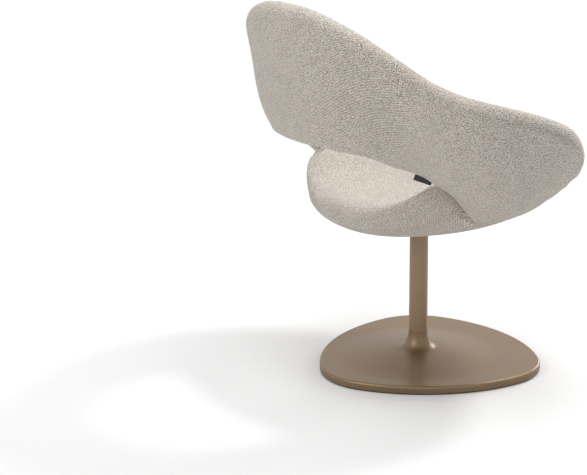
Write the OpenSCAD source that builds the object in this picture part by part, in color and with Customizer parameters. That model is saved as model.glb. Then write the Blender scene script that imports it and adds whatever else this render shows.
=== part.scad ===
/* [Overall] */
// Width over both arm tips, before the rounding of their edges
chair_w = 762; // [700:1:840]
// Height from the floor to the top of the back
chair_h = 770; // [740:1:800]
// Reach of the back's top edge behind the column's axis
rear_reach = 317; // [300:1:340]

/* [Seat] */
// Reach of the seat behind the axis, in the middle
seat_rear = 216; // [200:1:225]
// Reach of the seat behind the axis, where the back meets it
seat_rear_side = 112; // [104:1:120]
// Reach of the seat in front of the axis, in the middle
seat_front = 262; // [250:1:280]
// Reach of the seat in front of the axis, at its corners
seat_front_side = 200; // [190:1:208]
// Half width of the seat where the back meets it
seat_side_x = 190; // [184:1:200]
// Height of the seat's rear edge, in the middle
seat_rear_top = 373; // [366:1:380]
// Height of the seat where the back meets it
seat_side_top = 432; // [424:1:440]
// Height of the seat's front edge, in the middle
seat_front_top = 428; // [420:1:436]
// Height of the seat's front corners
seat_corner_top = 438; // [430:1:444]
// Height of the seat's underside at the column
seat_bottom = 288; // [282:1:292]
// Height of the seat's underside at its sides
seat_side_bottom = 334; // [330:1:338]
// How far the crown of the seat rises over a flat top
seat_crown = 5; // [0:0.5:10]

/* [Back and arms] */
// Half thickness of the rim along the back and the arms
rim_r = 23; // [20:0.5:25]
// Half thickness of the back's lower edge
low_edge_r = 20; // [18:0.5:22]
// Height of the back's lower edge over the floor, in the middle
low_edge_h = 521; // [510:1:535]
// Thickness of the fabric with its wadding
cover_t = 5; // [4:0.5:6]
// Share of the rim's thickness that the moulded inner shell takes
core_rim_share = 0.28; // [0.22:0.01:0.34]
// Share of the arm's thickness that the inner shell takes at the seat
core_root_share = 0.33; // [0.26:0.01:0.38]

/* [Column] */
// Outer diameter of the column's tube
column_d = 38; // [36:0.5:42]
// Wall of the column's tube
column_wall = 3; // [2:0.5:4]
// Diameter of the spindle that the seat turns on
spindle_d = 25; // [22:0.5:26]
// Length of each bush in the tube
bush_l = 30; // [20:1:40]
// Length of the spindle below the bearing
spindle_l = 140; // [120:1:170]

/* [Base] */
// Radius of the base's three rounded corners
base_corner_r = 124; // [110:1:135]
// Distance of the corner arcs' centres from the base's middle
base_corner_d = 116; // [105:1:125]
// How far the base's middle lies in front of the column
base_forward = 22; // [10:1:30]
// Height of the base's rim over the floor
rim_h = 18; // [17:0.5:22]
// Height of the dome where it meets the column's foot
dome_h = 34; // [30:0.5:40]
// Height where the foot's sweep runs out into the column
sweep_h = 74; // [64:1:90]
// Thickness of the floor pad
pad_h = 3; // [2:0.5:4]
// Thickness of the steel ballast plate
ballast_t = 8; // [6:0.5:9]

/* [Seat frame] */
// Thickness of the plywood seat panel
panel_t = 12; // [10:0.5:14]
// Radius of the seat panel
panel_r = 182; // [170:1:188]
// Thickness of the steel mounting plate
plate_t = 6; // [5:0.5:8]
// Radius of the mounting plate
plate_r = 76; // [72:1:84]
// Radius of the circle of the four mounting screws
mount_pcr = 55; // [46:1:60]
// Thickness of the steel side brackets
bracket_t = 4; // [3:0.5:5]
// Length of each side bracket along the seat
bracket_l = 110; // [96:1:114]

/* [Hidden] */
// Curves are true circles from this count on
$fn = 96;
// One overrun for all cuts
over = 1;
// Gap between soft pieces and their neighbours
soft_gap = 0.3;
// Gap of the foam under its cover
cover_gap = 0.6;
// Radial gap of the spindle in its bushes
running_gap = 0.05;
// Gap round a screw's shank
screw_gap = 0.3;

half_w = chair_w / 2;
column_r = column_d / 2;
bore_r = column_r - column_wall;
spindle_r = spindle_d / 2;

// Stack of the swivel, from the panel down
panel_over_bottom = 57;
panel_z = seat_bottom + panel_over_bottom;
plate_z = panel_z - plate_t;
race_t = 2;
ball_r = 2;
ball_gap = 0.02;
bearing_h = 2 * race_t + 2 * ball_r + 2 * ball_gap;
bush_flange_t = 3;
bearing_z = plate_z - bearing_h;
column_top = bearing_z - bush_flange_t;
bearing_in_r = 14;
bearing_out_r = 23;
ball_ring_r = (bearing_in_r + bearing_out_r) / 2;
ball_count = 14;
cage_t = 2;
cage_in_r = 15.5;
cage_out_r = 21.5;
pocket_gap = 0.1;
ring_t = 1.5;
ring_groove = 1.2;
ring_lug_gap = 8;
washer_t = 1.5;
spindle_end = 6;
lower_bush_z = column_top - spindle_l + spindle_end + ring_t + washer_t;
upper_bush_z = column_top - bush_l;

// Base
base_side_r = base_corner_r + sqrt(3) * base_corner_d;
rim_edge_r = 5;
rim_wall = 14;
pad_inset = 4;
sweep_lip = 1;
sweep_out_share = 2.2;
dome_out_share = 0.93;
ballast_gap = 1;
ballast_z = pad_h;
ballast_hole_r = 3.4;
ballast_screw_r = 3;
ballast_screw_ring = 95;
ballast_screw_l = 14;
ballast_head_r = 5.5;
ballast_head_h = 3.5;
plug_l = 30;
casting_floor_t = 4;
socket_z = ballast_z + ballast_t + casting_floor_t;
bolt_r = 6;
bolt_head_r = 10;
bolt_head_h = 6;
bolt_grip = 22;
bolt_recess_r = 16;
hex_share = 0.8;

// Mounting screws, nuts and brackets
panel_side = 360;
panel_ahead = 25;
panel_mid_y = -panel_ahead;
mount_screw_r = 4;
mount_head_r = 6.5;
mount_head_h = 5;
tee_barrel_r = 5.5;
tee_flange_r = 10;
tee_flange_t = 1.5;
foot_lap = 26.8;
bracket_rise = 52;
bracket_ahead = 30;
bracket_mid_y = -bracket_ahead;
bracket_hole_span = 70;
panel_screw_r = 2.5;
panel_screw_l = 10;
panel_head_r = 4.5;
panel_head_h = 2.5;
panel_screw_in = 10;
core_screw_r = 3;
core_screw_l = 10;
core_head_r = 5.5;
core_head_h = 3;
core_screw_up = 31;

// Underside cover
under_lift = 7;
under_z = seat_bottom + under_lift;
under_t = 3;
under_wall = 3;
under_r = 80;
under_gap = 1.5;
under_screw_r = 2;
under_screw_ring = 68;
under_post_r = 5;
under_head_r = 3.5;
under_head_h = 2;

// Label
label_l = 45;
label_h = 10;
label_t = 1.2;
label_gap = 0.9;
label_share = 0.368;
label_step_share = 0.05;
label_lean = 30;

// Turn of the seat's side faces, which spread towards the front
seat_toe_share = 0.10;
toe = atan(seat_toe_share);
side_axis_x = seat_side_x + seat_toe_share * seat_rear_side;
// The brackets' feet reach this far in over the panel's edge
bracket_foot = side_axis_x - panel_r + foot_lap;

// Vector and curve helpers
function unit(v) = v / norm(v);
function mix(a, b, t) = a + (b - a) * t;
function bezier(p, t) = pow(1 - t, 3) * p[0] + 3 * pow(1 - t, 2) * t * p[1]
    + 3 * (1 - t) * t * t * p[2] + t * t * t * p[3];
// Point at u (0 to 1) of a smooth curve through all rows of a table
function through(rows, u) =
    let (n = len(rows) - 1, s = min(max(u, 0) * n, n - 0.000001), k = floor(s), t = s - k,
        b = rows[k], c = rows[k + 1],
        a = k > 0 ? rows[k - 1] : 2 * b - c,
        d = k < n - 1 ? rows[k + 2] : 2 * c - b)
    0.5 * (2 * b + (c - a) * t + (2 * a - 5 * b + 4 * c - d) * t * t + (3 * b - a - 3 * c + d) * t * t * t);
function xyz(v, i) = [v[i], v[i + 1], v[i + 2]];

// Closed skin over a list of loops that all have the same number of points
function skin(rows) = let (m = len(rows[0]), n = len(rows))
    [for (i = [0:n - 2]) for (j = [0:m - 1]) let (a = i * m + j, b = i * m + (j + 1) % m)
        each [[a, b, b + m], [a, b + m, a + m]]];
function caps(rows) = let (m = len(rows[0]), n = len(rows))
    [[for (j = [m - 1:-1:0]) j], [for (j = [0:m - 1]) (n - 1) * m + j]];
module loft(rows) {
    polyhedron([for (r = rows) each r], concat(skin(rows), caps(rows)));
}

// Seat: its outline at share s of the half width, as five curves in (y, z), drawn in by inset.
// Pairs hold a value for the middle and one for the side.
edge_r = 16;
side_edge_r = 9;
front_r = 40;
low_ahead = 10;
low_y = -low_ahead;
rear_bulge = 3;
rear_slant = 28;
front_dip = 4;
round_share = 0.55;
rear_power = 0.64;
top_power = 3.6;
bottom_power = 2.2;
side_power = 4;
rear_drop_share = [0.52, 0.14];
under_rear_y_share = [0.36, 0.66];
under_rear_z_share = [1, 0.92];
under_front_y_share = [0.5, 0.3];
front_low_y_share = [1, 0.78];
front_low_z_share = [0.6, 0.45];
top_front_share = 0.3;
top_rear_share = 0.33;
crown_rear_share = 0.2;
edge_inset_share = 0.8;
function of_pair(p, side) = mix(p[0], p[1], side);
function seat_half_w(y) = seat_side_x + seat_toe_share * (seat_rear_side - y);
function seat_curves(s, inset = 0) =
    let (a = min(1, abs(s)), side = pow(a, side_power), k = 1 - round_share,
        yr = mix(seat_rear_side, seat_rear, pow(max(0, 1 - a * a), rear_power)) - inset,
        er = mix(edge_r, side_edge_r, a * a) - inset * edge_inset_share,
        zr = mix(seat_rear_top, seat_side_top, pow(a, top_power)) - inset,
        yf = -mix(seat_front, seat_front_side, a * a) + inset,
        zf = mix(seat_front_top, seat_corner_top, a * a) - inset,
        fr = front_r - inset,
        zb = mix(seat_bottom, seat_side_bottom, pow(a, bottom_power)) + inset,
        lz = zr - er, fz = zf - fr, top_l = yr - er - yf - fr)
    [
        [[yr - er, zr], [yr - er * k, zr], [yr, zr - er * k], [yr, lz]],
        [[yr, lz],
            [yr + mix(rear_bulge, -rear_slant, side), mix(lz, zb, of_pair(rear_drop_share, side))],
            [mix(yr, low_y, of_pair(under_rear_y_share, side)),
                mix(lz, zb, of_pair(under_rear_z_share, side))],
            [low_y, zb]],
        [[low_y, zb],
            [mix(low_y, yf, of_pair(under_front_y_share, side)), zb - front_dip * side],
            [mix(low_y, yf, of_pair(front_low_y_share, side)),
                mix(fz, zb, of_pair(front_low_z_share, side))],
            [yf, fz]],
        [[yf, fz], [yf, fz + fr * round_share], [yf + fr * k, zf], [yf + fr, zf]],
        [[yf + fr, zf], [yf + fr + top_l * top_front_share, zf + seat_crown / 2],
            [yr - er - top_l * top_rear_share, mix(zr, zf, crown_rear_share) + seat_crown], [yr - er, zr]],
    ];
// One loop of the seat, with the steps of each curve; reach widens it past the side faces
function seat_loop(s, steps, inset, reach) = let (c = seat_curves(s, inset))
    [for (k = [0:4]) for (i = [0:steps[k] - 1]) let (p = bezier(c[k], i / steps[k]))
        [s * (seat_half_w(p[0]) + reach), p[0], p[1]]];
fine_steps = [3, 6, 6, 4, 6];
coarse_steps = [2, 4, 4, 2, 4];
fine_turn = 9;
coarse_turn = 18;
module seat_form(turn, steps, inset, reach, tail = 0) {
    inner = [for (a = [-90:turn:90]) seat_loop(sin(a), steps, inset, reach)];
    ends = [for (s = [-1, 1]) seat_loop(s, steps, inset, reach + tail)];
    loft(tail > 0 ? concat([ends[0]], inner, [ends[1]]) : inner);
}

// Back and arms: stations from the middle of the back round to the front of the arm.
// Back rows: rim point, low edge point, both as shares, and the low edge's half thickness as a share
back_shares = [
    [[0, 1, 1], [0, 0.896, 1], 1],
    [[0.157, 0.987, 0.992], [0.136, 0.880, 0.994], 1],
    [[0.315, 0.943, 0.971], [0.273, 0.823, 0.979], 1],
    [[0.465, 0.864, 0.938], [0.383, 0.722, 0.952], 0.95],
    [[0.606, 0.751, 0.892], [0.454, 0.590, 0.914], 0.85],
    [[0.735, 0.634, 0.845], [0.497, 0.463, 0.882], 0.65],
];
// Arm rows: rim point as shares, rim half thickness as a share, and the places of the crease
// and the seam along the seat's side outline, counted in curves from its rear top
arm_shares = [
    [[0.835, 0.527, 0.817], 1, 4.98, 1.10],
    [[0.908, 0.401, 0.797], 1, 4.86, 1.30],
    [[0.961, 0.256, 0.779], 1, 4.72, 1.50],
    [[0.992, 0.101, 0.760], 1, 4.56, 1.72],
    [[1, -0.063, 0.735], 1, 4.42, 1.92],
    [[0.982, -0.224, 0.703], 1.09, 4.28, 2.15],
    [[0.919, -0.360, 0.662], 1.17, 4.14, 2.40],
    [[0.811, -0.470, 0.619], 1.26, 4.0, 2.62],
    [[0.696, -0.555, 0.579], 1.17, 3.7, 2.80],
    [[0.612, -0.631, 0.539], 0.52, 3.4, 2.98],
];
// Lean of the outer and inner faces at the rim and at the root, in degrees
lean_angles = [
    [8, 4, 3, 3], [8, 4, 3, 3], [8, 4, 3, 3], [9, 6, 3, 3], [11, 9, 4, 4], [14, 14, 5, 5],
    [19, 24, 5, 6], [24, 32, 3, 8], [26, 34, 0, 10], [26, 32, -4, 12], [24, 29, -6, 12],
    [22, 26, -8, 12], [20, 22, -8, 10], [18, 18, -6, 8], [16, 14, -4, 6], [14, 14, 0, 4],
];
function rim_point(p) = [p[0] * half_w, p[1] * rear_reach, p[2] * chair_h];
function low_point(p) = [p[0] * half_w, p[1] * rear_reach, p[2] * low_edge_h];
function side_point(q) = let (k = min(4, floor(q)), p = bezier(seat_curves(1)[k], q - k))
    [seat_half_w(p[0]), p[0], p[1]];
rims = concat([for (r = back_shares) rim_point(r[0])], [for (r = arm_shares) rim_point(r[0])]);
function rim_run(k) = unit(rims[k + 1] - (k > 0 ? rims[k - 1] : [-rims[1][0], rims[1][1], rims[1][2]]));
function back_row(k) =
    let (r = back_shares[k], top = rims[k], low = low_point(r[1]),
        out = unit(cross(rim_run(k), unit(low - top))) * low_edge_r * r[2])
    [each top, each (low + out), each (low - out), rim_r, low_edge_r * r[2], each lean_angles[k]];
function arm_row(k) = let (r = arm_shares[k], n = len(back_shares) + k)
    [each rims[n], each side_point(r[3]), each side_point(r[2]), rim_r * r[1], 0, each lean_angles[n]];
stations = concat([for (k = [0:len(back_shares) - 1]) back_row(k)],
    [for (k = [0:len(arm_shares) - 1]) arm_row(k)]);
// Last station of the back, as a share of the way round
back_end = (len(back_shares) - 1) / (len(stations) - 1);
side_out = [cos(toe), sin(toe), 0];

// One loop round the back or an arm at u. inset draws it in, thin leaves only that share of its
// thickness at the rim and at the root, grow then widens it all round, shift moves its root away
// from the seat's side face, and cut runs the root on through that face.
handle_share = 0.37;
root_inset_share = 1.3;
round_turn = 60;
least_share = 0.1;
function beside_seat(p, on_side) = [on_side >= 1 ? seat_half_w(p[1])
    : p[1] < seat_rear_side ? max(p[0], seat_half_w(p[1])) : p[0], p[1], p[2]];
function wing_loop(u, steps, inset, thin, grow, shift, cut) =
    let (v = through(stations, u), step = 0.01,
        run = through(stations, min(1, u + step)) - through(stations, max(0, u - step)),
        on_side = max(0, min(1, (u - back_end) * (len(stations) - 1))),
        root_out = beside_seat(xyz(v, 3), on_side), root_in = beside_seat(xyz(v, 6), on_side),
        top = xyz(v, 0), low_mid = (root_out + root_in) / 2,
        along = unit(u < step ? [1, 0, 0] : xyz(run, 0)), fall = unit(low_mid - top),
        down = unit(fall - along * (fall * along)), out = unit(cross(along, down)),
        centre = top + down * v[9],
        r = thin[0] * (v[9] - inset) + grow,
        low_r = max(0, thin[1] * (v[10] - inset) + grow),
        width = norm(root_out - root_in),
        keep = thin[1] * max(least_share, 1 - 2 * inset * root_inset_share / width) + 2 * grow / width,
        place = low_mid + side_out * shift * on_side,
        low_out = place + (root_out - low_mid) * keep,
        low_in = place + (root_in - low_mid) * keep,
        top_out = centre + out * r, top_in = centre - out * r,
        lo = norm(low_out - top_out) * handle_share, li = norm(low_in - top_in) * handle_share,
        outer = [top_out, top_out + (down * cos(v[11]) + out * sin(v[11])) * lo,
            low_out + (out * sin(v[12]) - down * cos(v[12])) * lo, low_out],
        inner = [top_in, top_in + (down * cos(v[13]) + out * sin(v[13])) * li,
            low_in + (out * sin(v[14]) - down * cos(v[14])) * li, low_in],
        near = (1 - cos(round_turn)) / 2 * (cut > 0 ? 1 - on_side : 1),
        past = down * low_r * sin(round_turn),
        ends = [for (p = [mix(low_out, low_in, near) + past, mix(low_in, low_out, near) + past])
            beside_seat(p, p[1] < seat_rear_side + side_edge_r ? 1 : 0) * on_side + p * (1 - on_side)
                + side_out * (shift - cut) * on_side])
    concat(
        [for (i = [0:steps[0] - 1]) let (a = 180 * i / steps[0])
            centre - (out * cos(a) + down * sin(a)) * r],
        [for (i = [0:steps[1]]) bezier(outer, i / steps[1])],
        ends,
        [for (i = [steps[2]:-1:1]) bezier(inner, i / steps[2])]);
function mirrored(loop) = [for (p = loop) [-p[0], p[1], p[2]]];
// The whole form, from the rows on the left side and their mirror images. The fifth row of the
// foam stands where the back meets the seat.
row_step = len(back_shares) / (len(stations) - 1) / 5;
cover_rows = concat([for (i = [0:24]) i * row_step / 2], [1]);
foam_rows = [for (i = [0:2:24]) cover_rows[i]];
core_rows = [for (i = [0:2:22]) cover_rows[i]];
end_lead = 0.001;
end_tail = 0.006;
function past_end(rows) = concat(rows * (1 + end_lead), [rows[len(rows) - 1] + end_tail]);
// The end of an arm: a fan over its rim, then a strip down to its root
function arm_end(steps, m) =
    let (n = steps[0] + steps[1] + 1, a = [for (j = [steps[0]:n]) j],
        b = concat([0], [for (j = [m - 1:-1:n + 1]) j]), last = len(b) - 1)
    concat([for (i = [1:steps[0] - 1]) [0, i, i + 1]],
        [for (k = [0:len(a) - 2]) each k < last
            ? [[a[k], a[k + 1], b[k + 1]], [a[k], b[k + 1], b[k]]] : [[a[k], a[k + 1], b[last]]]]);
module wing_form(rows, steps, inset, thin = [1, 1], grow = 0, shift = 0, cut = 0) {
    half = [for (u = rows) wing_loop(u, steps, inset, thin, grow, shift, cut)];
    loops = concat([for (i = [len(half) - 1:-1:1]) mirrored(half[i])], half);
    m = len(loops[0]);
    far = (len(loops) - 1) * m;
    polyhedron([for (r = loops) each r], concat(skin(loops),
        [for (f = arm_end(steps, m)) [f[2], f[1], f[0]]],
        [for (f = arm_end(steps, m)) [far + f[0], far + f[1], far + f[2]]]));
}

// Base plan: three wide discs cut each other, and a sector at each corner rounds off what is left.
// The wide discs are drawn in by a hair, so that their arcs cross those of the corners.
module side_disc(z0, z1, inset) {
    translate([0, 0, z0]) cylinder(r = side_arc_r - inset, h = z1 - z0);
}
module base_form(z0, z1, inset) {
    difference() {
        intersection() {
            base_corner(0) side_disc(z0, z1, inset);
            base_corner(1) side_disc(z0 - over, z1 + over, inset);
            base_corner(2) side_disc(z0 - over, z1 + over, inset);
        }
        base_corners() rotate(-arc_turn / 2) rotate_extrude(angle = arc_turn)
            translate([base_corner_r - inset, z0 - over]) square([base_corner_r, z1 - z0 + 2 * over]);
    }
}
arc_turn = 60;
arc_hair = 0.3;
arc_lap = 8;
side_arc_r = base_side_r - arc_hair;
module base_corner(k) {
    translate([0, -base_forward, 0]) rotate(90 + 120 * k) translate([base_corner_d, 0, 0]) children();
}
module base_corners() {
    for (k = [0:2]) base_corner(k) children();
}
// What the rounding of the rim takes away along one arc
module rim_cut(r, turn) {
    rotate_extrude(angle = turn) difference() {
        translate([r - rim_edge_r, rim_h - rim_edge_r]) square(rim_edge_r + over);
        translate([r - rim_edge_r, rim_h - rim_edge_r]) circle(rim_edge_r);
    }
}

// Outline of the dome and of the sweep up into the column, from the axis out
dome_r = (base_corner_d / 2 + base_corner_r) * dome_out_share;
sweep_r = column_r * sweep_out_share;
sweep_drop_share = 0.62;
sweep_reach_share = 0.45;
dome_start_share = 0.3;
dome_drop_share = 0.22;
dome_run_share = 0.75;
function sweep_curve(t) = bezier([[column_r + sweep_lip, sweep_h],
    [column_r + sweep_lip, mix(sweep_h, dome_h, sweep_drop_share)],
    [mix(column_r, sweep_r, sweep_reach_share), dome_h + sweep_lip], [sweep_r, dome_h - sweep_lip]], t);
function dome_curve(t) = bezier([[sweep_r, dome_h - sweep_lip],
    [mix(sweep_r, dome_r, dome_start_share), mix(dome_h, rim_h, dome_drop_share)],
    [mix(sweep_r, dome_r, dome_run_share), rim_h + sweep_lip], [dome_r, rim_h]], t);

module base_casting() {
    color([0.56, 0.46, 0.36]) difference() {
        union() {
            base_form(pad_h, rim_h, 0);
            rotate_extrude() polygon(concat([[0, socket_z], [0, sweep_h]],
                [for (i = [0:10]) sweep_curve(i / 10)],
                [for (i = [1:12]) dome_curve(i / 12)],
                [[dome_r, socket_z]]));
        }
        base_corners() {
            rotate(-arc_turn / 2) rim_cut(base_corner_r, arc_turn);
            rotate(180 - arc_turn / 2 - arc_lap / 2) rim_cut(side_arc_r, arc_turn + arc_lap);
        }
        base_form(pad_h - over, ballast_z + ballast_t, rim_wall);
        translate([0, 0, socket_z]) cylinder(r = column_r, h = sweep_h);
        translate([0, 0, ballast_z]) cylinder(r = bolt_r + screw_gap, h = socket_z);
        ballast_places() cylinder(r = ballast_screw_r, h = ballast_screw_l + ballast_gap);
    }
}
// Places of the three screws of the ballast plate, at its lower face
module ballast_places() {
    for (k = [0:2]) translate([0, -base_forward, ballast_z]) rotate(30 + 120 * k)
        translate([ballast_screw_ring, 0, 0]) children();
}
module ballast_plate() {
    color("dimgray") difference() {
        base_form(ballast_z, ballast_z + ballast_t, rim_wall + ballast_gap / 2);
        translate([0, 0, ballast_z - over])
            cylinder(r = bolt_recess_r + screw_gap, h = ballast_t + 2 * over);
        ballast_places() {
            translate([0, 0, -over]) cylinder(r = ballast_hole_r, h = ballast_t + 2 * over);
            translate([0, 0, -over]) cylinder(r = ballast_head_r + screw_gap, h = ballast_head_h + over);
        }
    }
}
module ballast_screws() {
    color("silver") ballast_places() {
        cylinder(r = ballast_head_r, h = ballast_head_h);
        cylinder(r = ballast_screw_r, h = ballast_screw_l);
    }
}
module floor_pad() {
    color([0.1, 0.1, 0.1]) base_form(0, pad_h, pad_inset);
}
module column_tube() {
    color([0.56, 0.46, 0.36]) difference() {
        translate([0, 0, socket_z]) cylinder(r = column_r, h = column_top - socket_z);
        translate([0, 0, socket_z - over]) cylinder(r = bore_r, h = column_top + 2 * over);
    }
}
module column_plug() {
    color("gray") difference() {
        translate([0, 0, socket_z]) cylinder(r = bore_r, h = plug_l);
        translate([0, 0, socket_z - over]) cylinder(r = bolt_r, h = bolt_grip + over);
    }
}
bolt_top = socket_z + bolt_grip;
bolt_washer_z = ballast_z + ballast_t - washer_t;
module centre_bolt() {
    color("silver") {
        translate([0, 0, bolt_washer_z]) cylinder(r = bolt_r, h = bolt_top - bolt_washer_z);
        translate([0, 0, bolt_washer_z - bolt_head_h]) difference() {
            cylinder(r = bolt_head_r, h = bolt_head_h);
            translate([0, 0, -over]) cylinder(r = bolt_r * hex_share, h = bolt_head_h / 2 + over, $fn = 6);
        }
    }
}
module centre_washer() {
    color("silver") translate([0, 0, bolt_washer_z]) ring_solid(bolt_r, bolt_recess_r, washer_t);
}
module ring_solid(r_in, r_out, h) {
    difference() {
        cylinder(r = r_out, h = h);
        translate([0, 0, -over]) cylinder(r = r_in, h = h + 2 * over);
    }
}
module lower_bush() {
    color("ivory") translate([0, 0, lower_bush_z]) ring_solid(spindle_r + running_gap, bore_r, bush_l);
}
module upper_bush() {
    color("ivory") {
        difference() {
            union() {
                translate([0, 0, upper_bush_z]) cylinder(r = bore_r, h = bush_l);
                translate([0, 0, column_top]) cylinder(r = column_r, h = bush_flange_t);
            }
            translate([0, 0, upper_bush_z - over])
                cylinder(r = spindle_r + running_gap, h = bush_l + bush_flange_t + 2 * over);
        }
    }
}
module bearing_lower_race() {
    color("silver") translate([0, 0, bearing_z]) ring_solid(bearing_in_r, bearing_out_r, race_t);
}
ball_z = bearing_z + bearing_h / 2;
module ball_places() {
    for (k = [0:ball_count - 1]) rotate(360 * k / ball_count)
        translate([ball_ring_r, 0, ball_z]) children();
}
module bearing_cage() {
    color("goldenrod") difference() {
        translate([0, 0, ball_z - cage_t / 2]) ring_solid(cage_in_r, cage_out_r, cage_t);
        ball_places() translate([0, 0, -cage_t]) cylinder(r = ball_r + pocket_gap, h = 2 * cage_t);
    }
}
module bearing_balls() {
    color("lightgray") ball_places() sphere(ball_r);
}
module bearing_upper_race() {
    color("silver") translate([0, 0, plate_z - race_t]) ring_solid(bearing_in_r, bearing_out_r, race_t);
}
spindle_z = column_top - spindle_l;
ring_z = spindle_z + spindle_end;
module spindle() {
    color("gray") difference() {
        translate([0, 0, spindle_z]) cylinder(r = spindle_r, h = panel_z - spindle_z);
        translate([0, 0, ring_z]) ring_solid(spindle_r - ring_groove, spindle_r + over, ring_t);
    }
}
module spindle_washer() {
    color("silver") translate([0, 0, ring_z + ring_t])
        ring_solid(spindle_r + running_gap, bore_r - ring_groove, washer_t);
}
module retaining_ring() {
    color("dimgray") translate([0, 0, ring_z]) difference() {
        ring_solid(spindle_r - ring_groove, spindle_r + ring_groove, ring_t);
        translate([0, -ring_lug_gap / 2, -over]) cube([spindle_d, ring_lug_gap, ring_t + 2 * over]);
    }
}
module mount_places() {
    for (k = [0:3]) rotate(45 + 90 * k) translate([mount_pcr, 0, 0]) children();
}
module under_places() {
    for (k = [0:2]) rotate(90 + 120 * k) translate([under_screw_ring, 0, 0]) children();
}
module mount_plate() {
    color("gray") difference() {
        translate([0, 0, plate_z]) cylinder(r = plate_r, h = plate_t);
        translate([0, 0, plate_z - over]) cylinder(r = spindle_r, h = plate_t + 2 * over);
        translate([0, 0, plate_z - over]) {
            mount_places() cylinder(r = mount_screw_r + screw_gap, h = plate_t + 2 * over);
            under_places() cylinder(r = under_screw_r, h = plate_t + 2 * over);
        }
    }
}
module mount_screws() {
    color("silver") mount_places() {
        translate([0, 0, plate_z - mount_head_h]) cylinder(r = mount_head_r, h = mount_head_h);
        translate([0, 0, plate_z]) cylinder(r = mount_screw_r, h = plate_t + panel_t);
    }
}
module tee_nuts() {
    color("silver") mount_places() difference() {
        union() {
            translate([0, 0, panel_z]) cylinder(r = tee_barrel_r, h = panel_t);
            translate([0, 0, panel_z + panel_t]) cylinder(r = tee_flange_r, h = tee_flange_t);
        }
        translate([0, 0, panel_z - over])
            cylinder(r = mount_screw_r, h = panel_t + tee_flange_t + 2 * over);
    }
}
module seat_panel() {
    color("burlywood") difference() {
        intersection() {
            translate([0, panel_mid_y, panel_z]) cylinder(r = panel_r, h = panel_t);
            translate([-panel_side / 2, -panel_r * 2, panel_z]) cube([panel_side, panel_r * 4, panel_t]);
        }
        translate([0, 0, panel_z - over]) mount_places() cylinder(r = tee_barrel_r, h = panel_t + 2 * over);
        both_sides() panel_screw_places() translate([0, 0, -panel_screw_l])
            cylinder(r = panel_screw_r, h = panel_screw_l + over);
    }
}
// A frame on the seat's left side face: x points away from the seat and y along the face
module at_side() {
    translate([side_axis_x, 0, 0]) rotate(toe) children();
}
bracket_z = panel_z + panel_t;
module panel_screw_places() {
    at_side() for (e = [-1, 1])
        translate([-bracket_foot + panel_screw_in, bracket_mid_y + e * bracket_hole_span / 2, bracket_z])
            children();
}
module core_screw_places() {
    at_side() for (e = [-1, 1])
        translate([-bracket_t, bracket_mid_y + e * bracket_hole_span / 2, bracket_z + core_screw_up])
            rotate([0, 90, 0]) children();
}
module side_bracket() {
    color("gray") difference() {
        at_side() translate([-bracket_foot, bracket_mid_y - bracket_l / 2, bracket_z]) {
            cube([bracket_foot, bracket_l, bracket_t]);
            translate([bracket_foot - bracket_t, 0, 0]) cube([bracket_t, bracket_l, bracket_rise]);
        }
        panel_screw_places() translate([0, 0, -over]) cylinder(r = panel_screw_r, h = bracket_t + 2 * over);
        core_screw_places() translate([0, 0, -over]) cylinder(r = core_screw_r, h = bracket_t + 2 * over);
    }
}
module side_bracket_left() side_bracket();
module side_bracket_right() mirror([1, 0, 0]) side_bracket();
module both_sides() {
    children();
    mirror([1, 0, 0]) children();
}
module panel_screws() {
    color("silver") both_sides() panel_screw_places() {
        translate([0, 0, bracket_t]) cylinder(r = panel_head_r, h = panel_head_h);
        translate([0, 0, -panel_screw_l]) cylinder(r = panel_screw_r, h = panel_screw_l + bracket_t);
    }
}
module core_screws() {
    color("silver") both_sides() core_screw_places() {
        translate([0, 0, -core_head_h]) cylinder(r = core_head_r, h = core_head_h);
        cylinder(r = core_screw_r, h = core_screw_l);
    }
}

// Back and arms: moulded inner shell, foam round it and fabric over the foam
core_steps = [3, 4, 3];
foam_steps = [4, 3, 3];
cover_steps = [4, 4, 3];
foam_inset = cover_t + cover_gap;
core_thin = [core_rim_share, core_root_share];
module back_arm_core() {
    color("burlywood") difference() {
        wing_form(core_rows, core_steps, foam_inset, core_thin);
        both_sides() core_screw_places() cylinder(r = core_screw_r, h = core_screw_l + over);
    }
}
module back_arm_foam() {
    color("khaki") difference() {
        wing_form(foam_rows, foam_steps, foam_inset, shift = soft_gap);
        wing_form(past_end(core_rows), core_steps, foam_inset, core_thin, grow = soft_gap, cut = over);
    }
}
module back_arm_cover() {
    color([0.80, 0.77, 0.71]) difference() {
        wing_form(cover_rows, cover_steps, 0, shift = soft_gap);
        wing_form(past_end(foam_rows), foam_steps, foam_inset,
            grow = cover_gap, shift = soft_gap, cut = cover_t);
    }
}

// Seat cushion
cut_reach = 10;
module seat_foam() {
    color("khaki") difference() {
        seat_form(coarse_turn, coarse_steps, foam_inset, -soft_gap);
        translate([0, 0, seat_bottom - over])
            cylinder(r = under_r + under_gap, h = panel_z - seat_bottom + over);
        translate([0, 0, panel_z - over])
            linear_extrude(panel_t + tee_flange_t + soft_gap + over) panel_plan();
        both_sides() at_side()
            translate([-bracket_foot - soft_gap, bracket_mid_y - bracket_l / 2 - soft_gap, bracket_z - over])
                cube([bracket_foot + cut_reach, bracket_l + 2 * soft_gap, bracket_rise + soft_gap + over]);
    }
}
module panel_plan() {
    intersection() {
        translate([0, panel_mid_y]) circle(panel_r + soft_gap);
        square([panel_side + 2 * soft_gap, panel_r * 4], center = true);
    }
}
module seat_cover() {
    color([0.83, 0.80, 0.75]) difference() {
        seat_form(fine_turn, fine_steps, 0, -soft_gap);
        seat_form(coarse_turn, coarse_steps, cover_t, -soft_gap, cut_reach);
        translate([0, 0, seat_bottom - over]) cylinder(r = under_r + under_gap, h = panel_z - seat_bottom);
    }
}
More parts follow.
